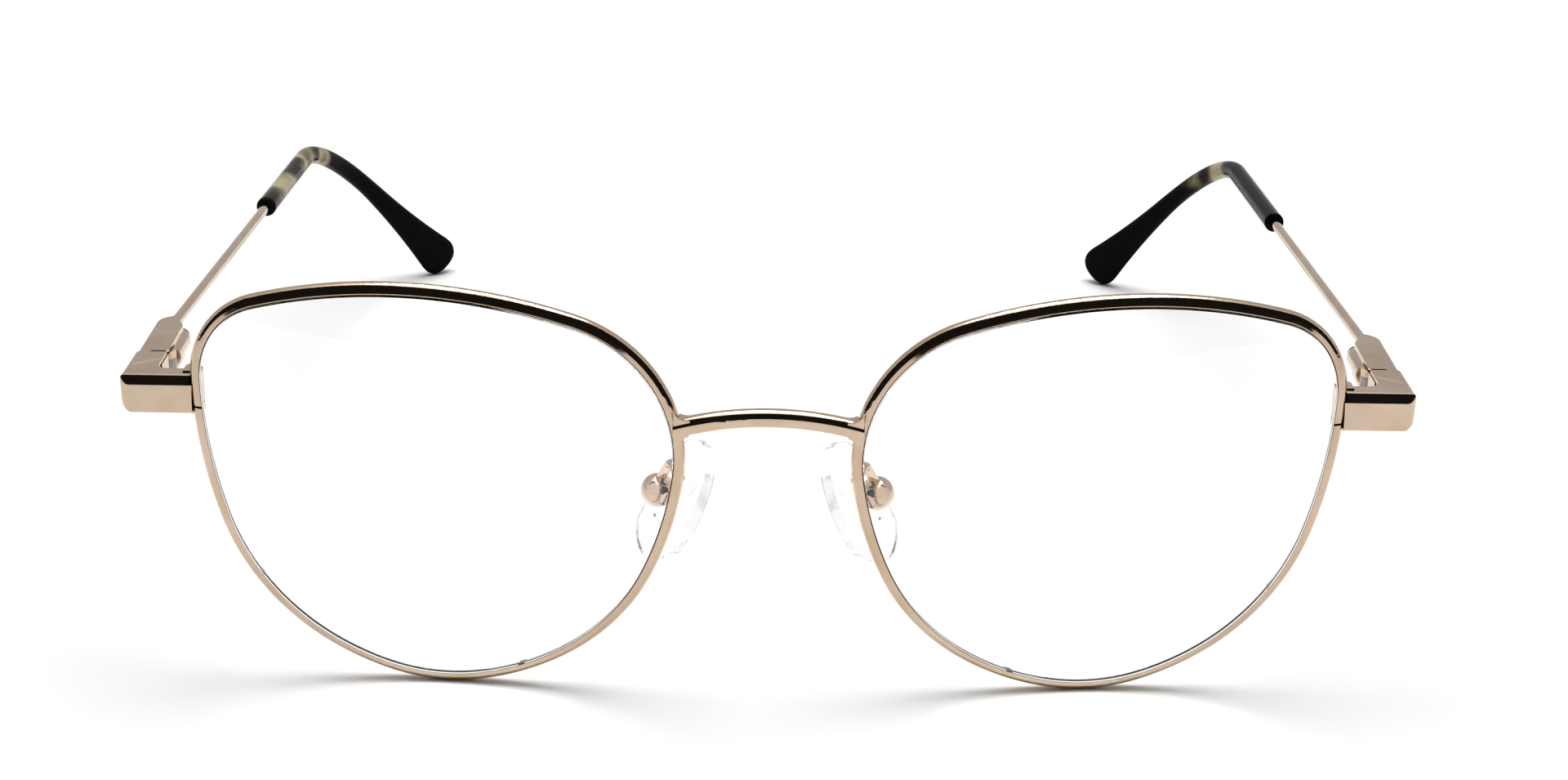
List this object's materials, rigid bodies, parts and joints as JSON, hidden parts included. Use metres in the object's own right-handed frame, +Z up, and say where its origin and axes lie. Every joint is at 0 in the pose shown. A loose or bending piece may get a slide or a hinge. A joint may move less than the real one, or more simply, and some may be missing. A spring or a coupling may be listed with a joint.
{
  "type": "eyeglasses",
  "caption": "Metal-rimmed eyeglasses: curved clear lenses in slim eyewires, arched bridge, rocking nose pads on wire arms, and spring-hinged wire temples with tortoiseshell tips.",
  "frame": {"origin": "on the floor under the middle of the opened glasses, which stand on the bottoms of both rims and the ends of both temple tips", "axes": "+Z up; -Y out of the lens fronts, +Y back along the temples; +X to the wearer's left, so nodes named left are on +X"},
  "size_m": [0.1422, 0.1489, 0.0479],
  "materials": {
    "frame_metal": "mirror-polished pale rose-gold plate over nickel alloy",
    "screw_steel": "turned steel with a thin rose-gold plate",
    "spring_steel": "bright drawn stainless steel",
    "lens_clear": "clear polished resin with a thin anti-reflection coat",
    "pad_silicone": "soft clear silicone, faintly satin",
    "pad_core": "clear hard plastic",
    "tortoise_acetate": "polished dark tortoiseshell acetate with honey-coloured patches"
  },
  "bodies": {
    "front": {"bridge": "frame_metal", "eyewire_left": "frame_metal", "lens_left": "lens_clear", "endpiece_left": "frame_metal", "rim_lock_upper_left": "frame_metal", "rim_lock_lower_left": "frame_metal", "rim_screw_left": "screw_steel", "pad_arm_left": "frame_metal", "pad_box_left": "frame_metal", "pad_screw_left": "screw_steel", "front_hinge_left": "frame_metal", "eyewire_right": "frame_metal", "lens_right": "lens_clear", "endpiece_right": "frame_metal", "rim_lock_upper_right": "frame_metal", "rim_lock_lower_right": "frame_metal", "rim_screw_right": "screw_steel", "pad_arm_right": "frame_metal", "pad_box_right": "frame_metal", "pad_screw_right": "screw_steel", "front_hinge_right": "frame_metal"},
    "left_pin": {"hinge_screw_left": "screw_steel"},
    "left_slider": {"hinge_slider_left": "spring_steel", "spring_stop_left": "spring_steel"},
    "left_temple": {"spring_housing_left": "frame_metal", "slider_guide_left": "spring_steel", "hinge_spring_left": "spring_steel", "temple_wire_left": "frame_metal", "temple_tip_left": "tortoise_acetate"},
    "left_pad": {"nose_pad_left": "pad_silicone", "pad_insert_left": "pad_core"},
    "right_pin": {"hinge_screw_right": "screw_steel"},
    "right_slider": {"hinge_slider_right": "spring_steel", "spring_stop_right": "spring_steel"},
    "right_temple": {"spring_housing_right": "frame_metal", "slider_guide_right": "spring_steel", "hinge_spring_right": "spring_steel", "temple_wire_right": "frame_metal", "temple_tip_right": "tortoise_acetate"},
    "right_pad": {"nose_pad_right": "pad_silicone", "pad_insert_right": "pad_core"}
  },
  "joints": [
    {"name": "temple_fold_left", "type": "hinge", "parent": "front", "child": "left_pin", "pos_m": [0.0667, -0.05972, 0.034], "axis": [0, 0, 1], "range_deg": [0, 88]},
    {"name": "temple_flex_left", "type": "hinge", "parent": "left_pin", "child": "left_slider", "pos_m": [0.0667, -0.05972, 0.034], "axis": [0, 0, -1], "range_deg": [0, 10], "stiffness_Nm_per_rad": 0.16, "springref_deg": -11.46},
    {"name": "spring_slide_left", "type": "slide", "parent": "left_slider", "child": "left_temple", "axis": [0.0115, 0.9999, 0], "range_m": [0, 0.0005], "deforming": ["hinge_spring_left"]},
    {"name": "pad_rock_left", "type": "hinge", "parent": "front", "child": "left_pad", "pos_m": [0.0122, -0.06482, 0.022], "axis": [-0.5453, -0.797, -0.2597], "range_deg": [-8, 8]},
    {"name": "temple_fold_right", "type": "hinge", "parent": "front", "child": "right_pin", "pos_m": [-0.0667, -0.05972, 0.034], "axis": [0, 0, -1], "range_deg": [0, 79]},
    {"name": "temple_flex_right", "type": "hinge", "parent": "right_pin", "child": "right_slider", "pos_m": [-0.0667, -0.05972, 0.034], "axis": [0, 0, 1], "range_deg": [0, 10], "stiffness_Nm_per_rad": 0.16, "springref_deg": -11.46},
    {"name": "spring_slide_right", "type": "slide", "parent": "right_slider", "child": "right_temple", "axis": [-0.0115, 0.9999, 0], "range_m": [0, 0.0005], "deforming": ["hinge_spring_right"]},
    {"name": "pad_rock_right", "type": "hinge", "parent": "front", "child": "right_pad", "pos_m": [-0.0122, -0.06482, 0.022], "axis": [0.5453, -0.797, -0.2597], "range_deg": [-8, 8]}
  ],
  "couplings": [
    {"joint": "spring_slide_left", "follows": "temple_flex_left", "m_per_rad": 0.0027},
    {"joint": "spring_slide_right", "follows": "temple_flex_right", "m_per_rad": 0.0027}
  ]
}
